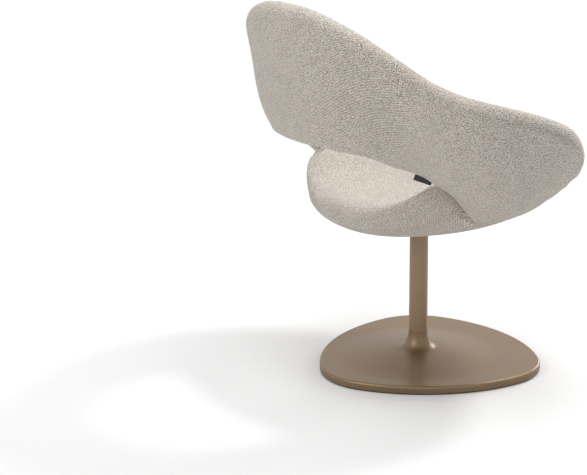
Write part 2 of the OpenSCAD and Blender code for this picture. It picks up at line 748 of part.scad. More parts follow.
module underside_cover() {
    color([0.12, 0.12, 0.12]) translate([0, 0, under_z]) difference() {
        union() {
            ring_solid(column_r + under_gap, under_r, under_t);
            ring_solid(under_r - under_wall, under_r, plate_z - under_z);
            under_places() cylinder(r = under_post_r, h = plate_z - under_z);
        }
        under_places() {
            translate([0, 0, -over]) cylinder(r = under_screw_r + screw_gap, h = panel_z);
            translate([0, 0, -over]) cylinder(r = under_head_r + screw_gap, h = under_head_h + over);
        }
    }
}
module underside_screws() {
    color("black") under_places() {
        translate([0, 0, under_z]) cylinder(r = under_head_r, h = under_head_h);
        translate([0, 0, under_z + under_head_h])
            cylinder(r = under_screw_r, h = plate_z + plate_t / 2 - under_z - under_head_h);
    }
}
// Blank tab sewn under the back's lower edge, on the sitter's right
function low_edge_point(u) =
    let (loop = wing_loop(u, cover_steps, 0, [1, 1], 0, 0, 0), n = cover_steps[0] + cover_steps[1] + 1)
    (loop[n] + loop[n + 1]) / 2;
label_p = low_edge_point(label_share);
label_q = low_edge_point(label_share - label_step_share);
label_turn = atan2(label_q[1] - label_p[1], label_q[0] - label_p[0]);
label_rise = asin((label_q[2] - label_p[2]) / norm(label_q - label_p));
module label_tab() {
    color([0.08, 0.08, 0.09]) mirror([1, 0, 0])
        translate(label_p) rotate([0, -label_rise, label_turn]) rotate([label_lean, 0, 0])
            translate([0, -label_t / 2, -label_gap - label_h]) cube([label_l, label_t, label_h]);
}

base_casting();
ballast_plate();
ballast_screws();
floor_pad();
column_tube();
column_plug();
centre_bolt();
centre_washer();
lower_bush();
upper_bush();
bearing_lower_race();
bearing_cage();
bearing_balls();
bearing_upper_race();
spindle();
spindle_washer();
retaining_ring();
mount_plate();
mount_screws();
tee_nuts();
seat_panel();
side_bracket_left();
side_bracket_right();
panel_screws();
core_screws();
back_arm_core();
back_arm_foam();
back_arm_cover();
seat_foam();
seat_cover();
underside_cover();
underside_screws();
label_tab();
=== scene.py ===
# Swivel tub armchair on a pedestal base. Sizes are in millimetres up to the meshes, which are in metres.
import math

import bpy
import numpy as np
from mathutils import Euler, Matrix, Vector


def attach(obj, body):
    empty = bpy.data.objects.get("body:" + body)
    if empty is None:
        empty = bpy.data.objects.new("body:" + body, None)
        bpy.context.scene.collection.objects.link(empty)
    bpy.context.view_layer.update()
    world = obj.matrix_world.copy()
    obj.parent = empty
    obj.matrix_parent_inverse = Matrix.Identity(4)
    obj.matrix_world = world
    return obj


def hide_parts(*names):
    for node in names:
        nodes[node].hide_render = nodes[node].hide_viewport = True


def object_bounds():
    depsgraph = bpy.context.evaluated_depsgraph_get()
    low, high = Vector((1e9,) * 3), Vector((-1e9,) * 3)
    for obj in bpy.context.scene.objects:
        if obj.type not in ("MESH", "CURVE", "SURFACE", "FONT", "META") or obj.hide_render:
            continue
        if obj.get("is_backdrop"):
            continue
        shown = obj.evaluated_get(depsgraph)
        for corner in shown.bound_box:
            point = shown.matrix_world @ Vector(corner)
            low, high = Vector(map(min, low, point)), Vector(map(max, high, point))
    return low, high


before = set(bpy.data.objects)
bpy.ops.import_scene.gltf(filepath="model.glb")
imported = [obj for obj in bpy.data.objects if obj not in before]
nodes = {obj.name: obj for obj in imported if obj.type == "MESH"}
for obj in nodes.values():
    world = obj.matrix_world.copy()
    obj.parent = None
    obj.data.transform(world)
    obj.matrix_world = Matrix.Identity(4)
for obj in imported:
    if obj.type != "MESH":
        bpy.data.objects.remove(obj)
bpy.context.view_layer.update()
scene = bpy.context.scene
scene.view_settings.view_transform = "Standard"

# Camera. It stands behind the chair on the sitter's right, 3.5 m away, and looks down by about
# 16 degrees through a long lens, so the upright lines stay nearly upright.
camera = bpy.data.objects.new("camera", bpy.data.cameras.new("camera"))
scene.collection.objects.link(camera)
camera.location = (-2.7590, 2.1556, 1.2623)
camera.rotation_mode = "QUATERNION"
camera.rotation_quaternion = Vector((0.780843, -0.561454, -0.273959)).to_track_quat("-Z", "Y")
camera.data.sensor_width = 36
camera.data.lens = 110.39
camera.data.shift_x = -0.0963
scene.camera = camera

# Base. One aluminium casting with a rounded three-cornered plan of constant width, a beaded rim,
# a shallow dome and a sweep up to the column. It has a satin bronze-taupe powder coat.

# In plan: the corners' radius, how far their centres lie from the plan's middle, and how far that
# lies in front of the column. Upwards: the rim, its bead, the pad, and where the sweep ends.
corner_r, corner_d, plan_forward = 124, 116, 22
rim_h, bead_r, bead_rise, pad_h = 18, 5, 1.06, 3
side_r = corner_r + math.sqrt(3) * corner_d
column_r, sweep_h, sweep_r, dome_h, dome_r = 19, 74, 41.8, 34, 169.3
foot_w, recess_h = 14, 11


def mix(a, b, t):
    """Share t of the way from a to b."""
    return a + (b - a) * t


def bezier(p, t):
    """Points of one cubic at the shares t."""
    p = np.asarray(p, float)
    t = np.atleast_1d(t)[:, None]
    return (1 - t) ** 3 * p[0] + 3 * (1 - t) ** 2 * t * p[1] + 3 * (1 - t) * t * t * p[2] + t**3 * p[3]


def plan_loop(inset, z, count=240):
    """The base's plan, drawn in by inset: six arcs that meet tangent, by the direction they face."""
    turn = (np.arange(count) + 0.5) / count * 2 * math.pi
    sixth = np.floor((turn + math.pi / 6) / (math.pi / 3)).astype(int) % 6
    at_corner = sixth % 2 == 0
    middle = sixth * math.pi / 3 + np.where(at_corner, 0, math.pi)
    r = np.where(at_corner, corner_r, side_r) - inset
    x = corner_d * np.cos(middle) + r * np.cos(turn)
    y = corner_d * np.sin(middle) + r * np.sin(turn)
    return np.stack([y, x - plan_forward, np.full(count, float(z))], 1)


def skin(name, rows, lengths=None):
    """A smooth mesh over loops with equal numbers of points, closed at both ends, facing outwards.
    With lengths, it also gets the map "cloth", in metres along the rows and round the loops."""
    rows = np.asarray(rows, float)
    n, m = rows.shape[:2]
    points = rows.reshape(-1, 3)
    i, j = np.meshgrid(np.arange(n - 1), np.arange(m), indexing="ij")
    k = (j + 1) % m
    quads = np.stack([i * m + j, i * m + k, (i + 1) * m + k, (i + 1) * m + j], -1).reshape(-1, 4)
    faces = quads.tolist() + [list(range(m))[::-1], list(range((n - 1) * m, n * m))]
    a, b, c, d = (points[quads[:, q]] for q in range(4))
    inside_out = (np.cross(b - a, c - a) * a).sum() + (np.cross(c - a, d - a) * a).sum() < 0
    if inside_out:
        faces = [f[::-1] for f in faces]
    mesh = bpy.data.meshes.new(name)
    mesh.from_pydata((points / 1000).tolist(), [], faces)
    if lengths is not None:
        along, around = lengths
        cloth = np.zeros((len(mesh.loops), 2), np.float32)
        corner = np.array([[0, 0], [0, 1], [1, 1], [1, 0]])
        if inside_out:
            corner = corner[::-1]
        for q in range(4):
            at = i.ravel() + corner[q, 0], j.ravel() + corner[q, 1]
            cloth[q : len(quads) * 4 : 4, 0] = along[at] / 1000
            cloth[q : len(quads) * 4 : 4, 1] = around[at] / 1000
        mesh.uv_layers.new(name="cloth").data.foreach_set("uv", cloth.ravel())
    mesh.polygons.foreach_set("use_smooth", [True] * len(mesh.polygons))
    mesh.update()
    piece = bpy.data.objects.new(name, mesh)
    scene.collection.objects.link(piece)
    return piece


rim = plan_loop(bead_r, rim_h)
facing = rim[:, :2] / np.linalg.norm(rim[:, :2], axis=1, keepdims=True)


def base_circle(r, z):
    """A circle round the column, with one point towards each point of the rim."""
    return np.column_stack([facing * r, np.full(len(facing), float(z))])


# Radius and height along the sweep and the dome, as the control points of two cubics.
sweep_curve = [[column_r + 0.1, sweep_h], [column_r + 0.1, 49.2], [29.3, dome_h + 1],
               [sweep_r, dome_h - 1]]
dome_curve = [[sweep_r, dome_h - 1], [80.1, 30.5], [137.4, rim_h + 1], [dome_r, rim_h + 0.02]]
sweep = bezier(sweep_curve, np.linspace(0, 1, 18))
dome = bezier(dome_curve, np.linspace(0, 1, 22)[1:])
# From the recess underneath, round the floor edge, the rim and its bead, over the dome and up the
# sweep, to just inside the column.
base_rows = [base_circle(1, recess_h), plan_loop(foot_w, recess_h), plan_loop(foot_w, pad_h)]
base_rows += [plan_loop(inset, pad_h + up) for inset, up in ((0.8, 0), (0.2, 0.3), (0, 1))]
base_rows += [plan_loop(bead_r * (1 - math.cos(a)), rim_h - bead_r + bead_r * math.sin(a) * bead_rise)
              for a in np.radians(np.arange(0, 91, 9))]
base_rows += [plan_loop(bead_r + 1.5, rim_h + 0.15), plan_loop(bead_r + 3.5, rim_h - 0.1)]
inner = plan_loop(bead_r + 6, rim_h)
base_rows += [mix(inner, base_circle(dome_r, rim_h + 0.02), t) for t in (0, 0.35, 0.7)]
base_rows += [base_circle(r, z) for r, z in dome[::-1]]
base_rows += [base_circle(r, z) for r, z in sweep[::-1][1:]]
base_rows += [base_circle(column_r + 0.02, sweep_h + 0.2), base_circle(column_r - 1.5, sweep_h - 4)]
base = skin("base_casting_coated", base_rows)


def paint(hex_text):
    """An sRGB hex colour as linear numbers."""
    parts = [int(hex_text[i : i + 2], 16) / 255 for i in (1, 3, 5)]
    return tuple(c / 12.92 if c <= 0.04045 else ((c + 0.055) / 1.055) ** 2.4 for c in parts) + (1.0,)


def add(tree, kind, inputs=(), **settings):
    """Adds one node with its settings, then sets its inputs, or links them to an output, or to the
    first output in use of another node."""
    node = tree.nodes.new(kind)
    for key, value in settings.items():
        setattr(node, key, value)
    for key, value in dict(inputs).items():
        if isinstance(value, bpy.types.Node):
            value = next(output for output in value.outputs if not output.is_unavailable)
        if isinstance(value, bpy.types.NodeSocket):
            tree.links.new(value, node.inputs[key])
        else:
            node.inputs[key].default_value = value
    return node


def new_finish(name):
    """An empty material and its tree."""
    finish = bpy.data.materials.new(name)
    finish.use_nodes = True
    finish.node_tree.nodes.clear()
    return finish, finish.node_tree


def close_finish(tree, shader):
    """Ends a material with its shader."""
    add(tree, "ShaderNodeOutputMaterial", {"Surface": shader})


# Powder coat with a fine metallic pigment, baked on: even and satin, with the slight waviness
# (orange peel) that softens each highlight, and paler on its sharpest convex edges. Its colour is painted
# darker than the tube's copy of the same coat, as painted shade.
casting_coat_painted_darker, t = new_finish("bronze_powder_coat")
place = add(t, "ShaderNodeTexCoord").outputs["Object"]
cloud = add(t, "ShaderNodeTexNoise", {"Vector": place, "Scale": 9.0, "Detail": 3.0})
pigment = add(t, "ShaderNodeTexNoise", {"Vector": place, "Scale": 900.0, "Detail": 1.0})
tone = add(t, "ShaderNodeValToRGB", {"Fac": cloud})
# Painted shade: these tones are a little darker than the tube's copy of this coat.
for end, position, colour in zip(tone.color_ramp.elements, (0.3, 0.7), ("#816a50", "#8c7459")):
    end.position, end.color = position, paint(colour)
fleck = add(t, "ShaderNodeMix", {"Factor": 0.16, "A": tone, "B": pigment.outputs["Color"]},
            data_type="RGBA", blend_type="OVERLAY")
# Paler on the sharpest convex edges, such as the rim's bead.
edges = add(t, "ShaderNodeNewGeometry").outputs["Pointiness"]
convex_pale_share = add(t, "ShaderNodeMapRange", {"Value": edges, "From Min": 0.52, "From Max": 0.6, "To Max": 0.35})
pale_edged_coat = add(t, "ShaderNodeMix", {"Factor": convex_pale_share, "A": fleck, "B": paint("#a8937d")}, data_type="RGBA")
gloss = add(t, "ShaderNodeMapRange", {
    "Value": cloud, "From Min": 0.3, "From Max": 0.7, "To Min": 0.36, "To Max": 0.44})
# Orange peel is about 1 mm wide; it is drawn 4 mm wide so that it shows.
peel = add(t, "ShaderNodeTexNoise", {"Vector": place, "Scale": 250.0})
relief = add(t, "ShaderNodeBump", {"Height": peel, "Strength": 0.06, "Distance": 0.0004})
close_finish(t, add(t, "ShaderNodeBsdfPrincipled", {
    "Base Color": pale_edged_coat, "Metallic": 0.4, "Roughness": gloss, "Normal": relief}))
base.data.materials.append(casting_coat_painted_darker)
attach(base, "foot")
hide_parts("base_casting")

# Floor pad. A thin moulded rubber sheet, glued under the casting, that keeps it off the floor.
# Rubber is matt, nearly black and a little dusty.
pad_rubber, t = new_finish("moulded_rubber")
place = add(t, "ShaderNodeTexCoord").outputs["Object"]
dust = add(t, "ShaderNodeTexNoise", {"Vector": place, "Scale": 60.0, "Detail": 4.0})
tone = add(t, "ShaderNodeMix", {"Factor": dust, "A": paint("#1b1a19"), "B": paint("#2e2c2a")},
           data_type="RGBA")
# The mould's texture is 0.3 mm; it is drawn at 1 mm.
texture = add(t, "ShaderNodeTexNoise", {"Vector": place, "Scale": 1000.0})
relief = add(t, "ShaderNodeBump", {"Height": texture, "Strength": 0.3, "Distance": 0.0002})
close_finish(t, add(t, "ShaderNodeBsdfPrincipled", {
    "Base Color": tone, "Roughness": 0.85, "Normal": relief}))


def finish_node(name, finish):
    """Gives a CAD node its material."""
    mesh = nodes[name].data
    if not mesh.materials:
        mesh.materials.append(finish)
    for slot in nodes[name].material_slots:
        slot.material = finish


finish_node("floor_pad", pad_rubber)


def metal(name, dark, light, rough, grain_mm, stretch=(1, 1, 1), strength=0.2):
    """A bare or plated metal: its colour wanders between two tones, and its surface has grain of a
    given size, which changes its gloss a little too."""
    finish, t = new_finish(name)
    place = add(t, "ShaderNodeTexCoord").outputs["Object"]
    place = add(t, "ShaderNodeMapping", {"Vector": place, "Scale": stretch})
    grain = add(t, "ShaderNodeTexNoise", {"Vector": place, "Scale": 1000 / grain_mm, "Detail": 3.0})
    cloud = add(t, "ShaderNodeTexNoise", {"Vector": place, "Scale": 45.0})
    tone = add(t, "ShaderNodeMix", {"Factor": cloud, "A": paint(dark), "B": paint(light)},
               data_type="RGBA")
    gloss = add(t, "ShaderNodeMapRange", {"Value": grain, "To Min": rough - 0.08, "To Max": rough + 0.1})
    relief = add(t, "ShaderNodeBump", {"Height": grain, "Strength": strength, "Distance": 0.0001})
    close_finish(t, add(t, "ShaderNodeBsdfPrincipled", {
        "Base Color": tone, "Metallic": 1.0, "Roughness": gloss, "Normal": relief}))
    return finish


# Ballast. A flame-cut steel plate in the casting's recess, held by three zinc-plated screws. Its mill
# scale is dark and blotchy, and zinc plate is pale and slightly blue.
mill_scale = metal("hot_rolled_steel", "#4a4744", "#6b6763", 0.5, 2.0)
zinc_plate = metal("zinc_plated_steel", "#a9adb2", "#c3c6c8", 0.32, 0.8)
finish_node("ballast_plate", mill_scale)
finish_node("ballast_screws", zinc_plate)

# Column. A drawn steel tube of 38 mm, pressed into the casting's socket and coated with it, with a
# steel plug, bolt and washer inside that hold it down.
tube_coat_painted_lighter, t = new_finish("bronze_coat_painted_lighter_on_tube")
place = add(t, "ShaderNodeTexCoord").outputs["Object"]
# The tube was ground along its length before coating, which leaves faint upright streaks.
upright = add(t, "ShaderNodeMapping", {"Vector": place, "Scale": (1, 1, 0.05)})
streak = add(t, "ShaderNodeTexNoise", {"Vector": upright, "Scale": 240.0})
# Painted light: the casting's coat, painted lighter on the tube.
tone = add(t, "ShaderNodeMix", {"Factor": streak, "A": paint("#957c61"), "B": paint("#a0876c")},
           data_type="RGBA")
gloss = add(t, "ShaderNodeMapRange", {"Value": streak, "To Min": 0.34, "To Max": 0.42})
peel = add(t, "ShaderNodeTexNoise", {"Vector": place, "Scale": 250.0})
relief = add(t, "ShaderNodeBump", {"Height": peel, "Strength": 0.05, "Distance": 0.0004})
close_finish(t, add(t, "ShaderNodeBsdfPrincipled", {
    "Base Color": tone, "Metallic": 0.25, "Roughness": gloss, "Normal": relief}))
finish_node("column_tube", tube_coat_painted_lighter)
finish_node("column_plug", mill_scale)
finish_node("centre_bolt", zinc_plate)
finish_node("centre_washer", zinc_plate)

# Swivel. Two acetal bushes in the tube guide the spindle, and a thrust bearing on the upper one
# carries the seat. A washer and a spring ring under the lower bush keep the spindle in.
acetal, t = new_finish("moulded_acetal")
place = add(t, "ShaderNodeTexCoord").outputs["Object"]
flow = add(t, "ShaderNodeTexNoise", {"Vector": place, "Scale": 35.0})
tone = add(t, "ShaderNodeMix", {"Factor": flow, "A": paint("#dcd8cc"), "B": paint("#ebe8df")},
           data_type="RGBA")
relief = add(t, "ShaderNodeBump", {"Height": flow, "Strength": 0.1, "Distance": 0.0002})
close_finish(t, add(t, "ShaderNodeBsdfPrincipled", {
    "Base Color": tone, "Roughness": 0.38, "Subsurface Weight": 0.1, "Subsurface Scale": 0.002,
    "Normal": relief}))
ground_steel = metal("ground_bearing_steel", "#b4b4b2", "#cfcfcd", 0.18, 0.5, (1, 1, 12))
turned_steel = metal("turned_steel", "#8c8b89", "#a9a8a5", 0.3, 0.6, (1, 1, 9))
spring_steel = metal("phosphated_spring_steel", "#34312f", "#4c4845", 0.45, 0.7)
pressed_brass = metal("pressed_brass", "#b08d4c", "#c9a760", 0.3, 0.8)
for name, finish in (
        ("lower_bush", acetal), ("upper_bush", acetal), ("spindle", turned_steel),
        ("bearing_lower_race", ground_steel), ("bearing_upper_race", ground_steel),
        ("bearing_cage", pressed_brass), ("spindle_washer", zinc_plate),
        ("retaining_ring", spring_steel)):
    finish_node(name, finish)

# Bearing balls. Fourteen polished chrome-steel balls in the cage's pockets, which the tree places
# evenly on one circle. Its lengths are in metres.
ball_steel = metal("polished_chrome_steel", "#c9cacc", "#d9dadb", 0.1, 1.0, strength=0.02)


def new_tree(name, sockets):
    """A geometry tree with named inputs, and one mesh or curve in and out."""
    tree = bpy.data.node_groups.new(name, "GeometryNodeTree")
    tree.interface.new_socket("Geometry", in_out="INPUT", socket_type="NodeSocketGeometry")
    for label, kind in sockets:
        tree.interface.new_socket(label, in_out="INPUT", socket_type="NodeSocket" + kind)
    tree.interface.new_socket("Geometry", in_out="OUTPUT", socket_type="NodeSocketGeometry")
    return tree, add(tree, "NodeGroupInput").outputs


def close_tree(tree, placed, finish):
    """Ends a tree: its instances become one mesh with one material."""
    solid = add(tree, "GeometryNodeRealizeInstances", {"Geometry": placed.outputs[0]})
    coated = add(tree, "GeometryNodeSetMaterial", {"Geometry": solid.outputs[0], "Material": finish})
    add(tree, "NodeGroupOutput", {"Geometry": coated.outputs[0]})


def grown(name, tree, values):
    """Runs a tree with its values and keeps the result as a plain mesh."""
    piece = bpy.data.objects.new(name, bpy.data.meshes.new(name))
    scene.collection.objects.link(piece)
    modifier = piece.modifiers.new(name, "NODES")
    modifier.node_group = tree
    for item in tree.interface.items_tree:
        if item.item_type == "SOCKET" and item.in_out == "INPUT" and item.name in values:
            modifier[item.identifier] = values[item.name]
    evaluated = piece.evaluated_get(bpy.context.evaluated_depsgraph_get())
    mesh = bpy.data.meshes.new_from_object(evaluated)
    piece.modifiers.clear()
    piece.data = mesh
    mesh.name = name
    return piece


tree, given = new_tree("ball_ring", [
    ("Balls", "Int"), ("Ring radius", "Float"), ("Ball radius", "Float"), ("Height", "Float"),
    ("Finish", "Material")])
circle = add(tree, "GeometryNodeMeshCircle", {
    "Vertices": given["Balls"], "Radius": given["Ring radius"]})
lifted = add(tree, "GeometryNodeTransform", {
    "Geometry": circle.outputs["Mesh"],
    "Translation": add(tree, "ShaderNodeCombineXYZ", {"Z": given["Height"]}).outputs[0]})
ball = add(tree, "GeometryNodeMeshIcoSphere", {"Radius": given["Ball radius"], "Subdivisions": 4})
smooth = add(tree, "GeometryNodeSetShadeSmooth", {"Geometry": ball.outputs["Mesh"]})
close_tree(tree, add(tree, "GeometryNodeInstanceOnPoints", {
    "Points": lifted.outputs[0], "Instance": smooth.outputs[0]}), given["Finish"])
balls = grown("bearing_balls_polished", tree, {
    "Balls": 14, "Ring radius": 0.0185, "Ball radius": 0.00199, "Height": 0.335, "Finish": ball_steel})
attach(balls, "ball_cage")
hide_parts("bearing_balls")

# Seat frame. A steel plate on the spindle is screwed through tee nuts to a birch plywood panel, and
# two black steel brackets on the panel carry the back and the arms.
black_steel = metal("black_coated_steel", "#1c1c1d", "#2a2a2b", 0.42, 1.2)


plywood, t = new_finish("birch_plywood")
place = add(t, "ShaderNodeTexCoord").outputs["Object"]
# Plies are 1.4 mm thick, and turn from long grain to end grain, so the edge is striped; the stripes
# are drawn 2.8 mm wide.
ply = add(t, "ShaderNodeTexWave", {"Vector": place, "Scale": 56.0, "Distortion": 0.3},
          wave_type="BANDS", bands_direction="Z")
along_grain = add(t, "ShaderNodeMapping", {"Vector": place, "Scale": (1, 0.07, 1)})
grain = add(t, "ShaderNodeTexNoise", {"Vector": along_grain, "Scale": 260.0, "Detail": 4.0})
face = add(t, "ShaderNodeMix", {"Factor": grain, "A": paint("#b78f5d"), "B": paint("#dcbd8d")},
           data_type="RGBA")
striped = add(t, "ShaderNodeMix", {"Factor": ply.outputs["Fac"], "A": face, "B": paint("#a87f50")},
              data_type="RGBA")
up = add(t, "ShaderNodeSeparateXYZ", {0: add(t, "ShaderNodeNewGeometry").outputs["Normal"]})
flat = add(t, "ShaderNodeMath", {0: up.outputs["Z"]}, operation="ABSOLUTE")
tone = add(t, "ShaderNodeMix", {"Factor": flat, "A": striped, "B": face}, data_type="RGBA")
relief = add(t, "ShaderNodeBump", {"Height": grain, "Strength": 0.3, "Distance": 0.0003})
close_finish(t, add(t, "ShaderNodeBsdfPrincipled", {
    "Base Color": tone, "Roughness": 0.62, "Normal": relief}))
# The shell inside the back and arms is polyurethane, moulded hard: cream, with fine flow marks.
moulded_shell, t = new_finish("moulded_polyurethane")
place = add(t, "ShaderNodeTexCoord").outputs["Object"]
flow = add(t, "ShaderNodeTexNoise", {"Vector": place, "Scale": 18.0, "Detail": 5.0, "Distortion": 0.8})
tone = add(t, "ShaderNodeMix", {"Factor": flow, "A": paint("#c9bb98"), "B": paint("#ded3b6")},
           data_type="RGBA")
relief = add(t, "ShaderNodeBump", {"Height": flow, "Strength": 0.25, "Distance": 0.001})
close_finish(t, add(t, "ShaderNodeBsdfPrincipled", {
    "Base Color": tone, "Roughness": 0.6, "Normal": relief}))
for name, finish in (
        ("mount_plate", mill_scale), ("mount_screws", zinc_plate), ("tee_nuts", zinc_plate),
        ("seat_panel", plywood), ("side_bracket_left", black_steel),
        ("side_bracket_right", black_steel), ("panel_screws", zinc_plate), ("core_screws", zinc_plate),
        ("back_arm_core", moulded_shell)):
    finish_node(name, finish)

# Seat. A cut foam cushion on the panel, wrapped in wadding and wool cloth. Its top is slightly
# crowned and falls to the rear, its edges are round, and it tucks in where the arms close on it.

# Half width at the rear corner, and how much it grows for each millimetre forwards.
seat_side_x, toe_share = 190, 0.10
# Reach to the rear and to the front, in the middle and at the side.
seat_rear, seat_rear_side, seat_front, seat_front_side = 216, 112, 262, 200
# Heights of the top: in the rear's middle, at the rear corner, in the front's middle and at its corner.
seat_rear_top, seat_side_top, seat_front_top, seat_corner_top = 373, 432, 428, 438
# Heights of the underside in the middle and at the side, and y of its lowest point.
seat_bottom, seat_side_bottom, lowest_y = 288, 338, -10
rear_edge_r, side_edge_r, front_edge_r = 22, 11, 40
# Along the sides the cloth is drawn in, over this width and to this depth, and stays clear of the arms.
tuck_w, tuck_d, side_gap = 3.4, 12.0, 0.6


def seat_half_w(y):
    """Half of the seat's width at y: its sides toe out forwards."""
    return seat_side_x + toe_share * (seat_rear_side - y)


def seat_curves(s, inset=0.0):
    """The seat's outline at share s of its half width, as five cubics in y and z: rear edge, rear and
    under face, under face and front, front edge, top."""
    a = min(1, abs(s))
    # Shape numbers come in pairs, for the seat's middle and its side. An edge is round when its
    # curve's handles stop the share "handle" of its radius short of the corner.
    side, handle = a**5, 0.45
    rear = mix(seat_rear_side, seat_rear, max(0, 1 - a * a) ** 0.5) - inset
    front = -mix(seat_front, seat_front_side, a * a) + inset
    rear_z = mix(seat_rear_top, seat_side_top, a**3.6) - inset
    front_z = mix(seat_front_top, seat_corner_top, a * a) - inset
    under = mix(seat_bottom, seat_side_bottom, a**2.2) + inset
    rear_r, front_r = mix(rear_edge_r, side_edge_r, a * a) - inset * 0.8, front_edge_r - inset
    rear_low, front_low = rear_z - rear_r, front_z - front_r
    top_l = rear - rear_r - front - front_r
    return [
        [[rear - rear_r, rear_z], [rear - rear_r * handle, rear_z],
         [rear, rear_z - rear_r * handle], [rear, rear_low]],
        [[rear, rear_low], [rear + mix(3, -36, side), mix(rear_low, under, mix(0.6, -0.13, side))],
         [mix(rear, lowest_y, mix(0.33, 0.69, side)), mix(rear_low, under, mix(1, 1.26, side))],
         [lowest_y, under]],
        [[lowest_y, under], [mix(lowest_y, front, mix(0.5, 0.3, side)), under - 4 * side],
         [mix(lowest_y, front, mix(1, 0.78, side)), mix(front_low, under, mix(0.6, 0.45, side))],
         [front, front_low]],
        [[front, front_low], [front, front_low + front_r * (1 - handle)],
         [front + front_r * handle, front_z], [front + front_r, front_z]],
        [[front + front_r, front_z], [front + front_r + top_l * 0.3, front_z + 2.5],
         [rear - rear_r - top_l * 0.33, mix(rear_z, front_z, 0.2) + 5], [rear - rear_r, rear_z]],
    ]


def seat_row(s, steps=(10, 30, 30, 14, 44)):
    """One loop of the cushion, drawn in where it tucks under the arms."""
    left = (1 - abs(s)) * seat_side_x
    inset = tuck_d * (1 - math.sqrt(1 - (1 - left / tuck_w) ** 2)) if left < tuck_w else 0.0
    yz = np.vstack([bezier(c, np.arange(q) / q) for c, q in zip(seat_curves(s, inset), steps)])
    return np.column_stack([s * (seat_half_w(yz[:, 0]) - side_gap), yz])


def run_lengths(rows, column=None):
    """Distances over the cloth: from the middle row along each column, or along one column for all,
    and round each loop from its first point."""
    rows = np.concatenate([rows, np.asarray(rows)[:, :1]], 1)
    along = np.cumsum(np.linalg.norm(np.diff(rows, axis=0, prepend=rows[:1]), axis=2), 0)
    around = np.cumsum(np.linalg.norm(np.diff(rows, axis=1, prepend=rows[:, :1]), axis=2), 1)
    if column is not None:
        along = along[:, [column] * along.shape[1]]
    return along - along[len(rows) // 2], around


seat_loops = 129
seat_rows = [seat_row(math.sin(a)) for a in np.radians(np.linspace(-90, 90, seat_loops))]
side_rings = [[mix(edge.mean(0), edge, share) for share in (0.9, 0.7, 0.5, 0.3, 0.12)]
              for edge in (seat_rows[0], seat_rows[-1])]
seat_rows = np.array(side_rings[0][::-1] + seat_rows + side_rings[1])
cloth_lengths = run_lengths(seat_rows)
# The foam has a round recess underneath, where the mounting plate and its cover sit. Points up to
# edge_in inside its edge and edge_out outside are moved onto the edge, so that it comes out sharp.
recess_r, recess_top, underside_z = 81.6, 340, 330
edge_in, edge_out, edge_w = 5, 4, 0.5
flat_r = np.linalg.norm(seat_rows[..., :2], axis=2)
below = seat_rows[..., 2] < underside_z
inside = below & (flat_r < recess_r)
beside = below & (flat_r >= recess_r) & (flat_r < recess_r + edge_out)
near_edge = inside & (flat_r > recess_r - edge_in)
for part, r in ((near_edge, recess_r), (beside, recess_r + edge_w)):
    seat_rows[part, :2] *= (r / flat_r[part])[:, None]
seat_rows[inside, 2] = recess_top
seat = skin("seat_cushion", seat_rows, lengths=cloth_lengths)


def settle(piece, held, most_mm, pressure=4.0, frames=13):
    """Lets the cloth of a padded piece swell and settle between the places where it is held, by
    most_mm at most."""
    mesh = piece.data
    before = np.empty(len(mesh.vertices) * 3)
    mesh.vertices.foreach_get("co", before)
    sewn = piece.vertex_groups.new(name="sewn")
    sewn.add(np.flatnonzero(held).tolist(), 1.0, "REPLACE")
    cloth = piece.modifiers.new("cloth", "CLOTH")
    cloth.settings.vertex_group_mass = "sewn"
    cloth.settings.use_pressure = True
    cloth.settings.uniform_pressure_force = pressure
    cloth.settings.effector_weights.gravity = 0
    cloth.settings.tension_stiffness = cloth.settings.compression_stiffness = 25
    cloth.settings.bending_stiffness = 2
    cloth.collision_settings.use_collision = False
    cloth.settings.quality = 4
    for count in range(1, frames + 1):
        scene.frame_set(count)
    shaped = piece.evaluated_get(bpy.context.evaluated_depsgraph_get())
    after = np.empty(len(before))
    shaped.data.vertices.foreach_get("co", after)
    piece.modifiers.remove(cloth)
    piece.vertex_groups.clear()
    scene.frame_set(1)
    move = (after - before).reshape(-1, 3)
    size = np.linalg.norm(move, axis=1, keepdims=True) + 1e-9
    move *= np.minimum(1, most_mm / 1000 / size)
    mesh.vertices.foreach_set("co", before + move.ravel())
    mesh.update()


tucked = np.abs(seat_rows[..., 0]) > seat_half_w(seat_rows[..., 1]) - tuck_w
settle(seat, (tucked | inside | beside).ravel(), most_mm=3.0)

# Wool cloth, a 2/2 twill of thick melange yarn: light greige, speckled with paler and darker
# fibres, with diagonal ribs, a dry matt face and a soft halo of fibre ends at grazing angles.
wool, t = new_finish("wool_twill_cloth")
cloth_map = add(t, "ShaderNodeUVMap", uv_map="cloth")
# The yarns lie 1.1 mm apart; they are drawn 1.3 mm apart, so that the ribs are over 2 pixels wide.
yarn_mm = 1.3
scaled = add(t, "ShaderNodeVectorMath", {0: cloth_map, "Scale": 1000 / yarn_mm}, operation="SCALE")
# The spun yarns are uneven, so each strays by up to a yarn's width and the ribs look broken.
uneven = add(t, "ShaderNodeTexNoise", {"Vector": cloth_map, "Scale": 420.0, "Detail": 1.0})
strayed = add(t, "ShaderNodeVectorMath", {0: uneven.outputs["Color"], 1: (1.8, 1.8, 0), 2: scaled},
              operation="MULTIPLY_ADD")
axes = add(t, "ShaderNodeSeparateXYZ", {0: strayed}).outputs
yarn_no, bulge = [], []
for axis in "XY":
    yarn_no.append(add(t, "ShaderNodeMath", {0: axes[axis]}, operation="FLOOR"))
    across = add(t, "ShaderNodeMath", {0: axes[axis]}, operation="FRACT")
    half_turn = add(t, "ShaderNodeMath", {0: across, 1: math.pi}, operation="MULTIPLY")
    bulge.append(add(t, "ShaderNodeMath", {0: half_turn}, operation="SINE"))
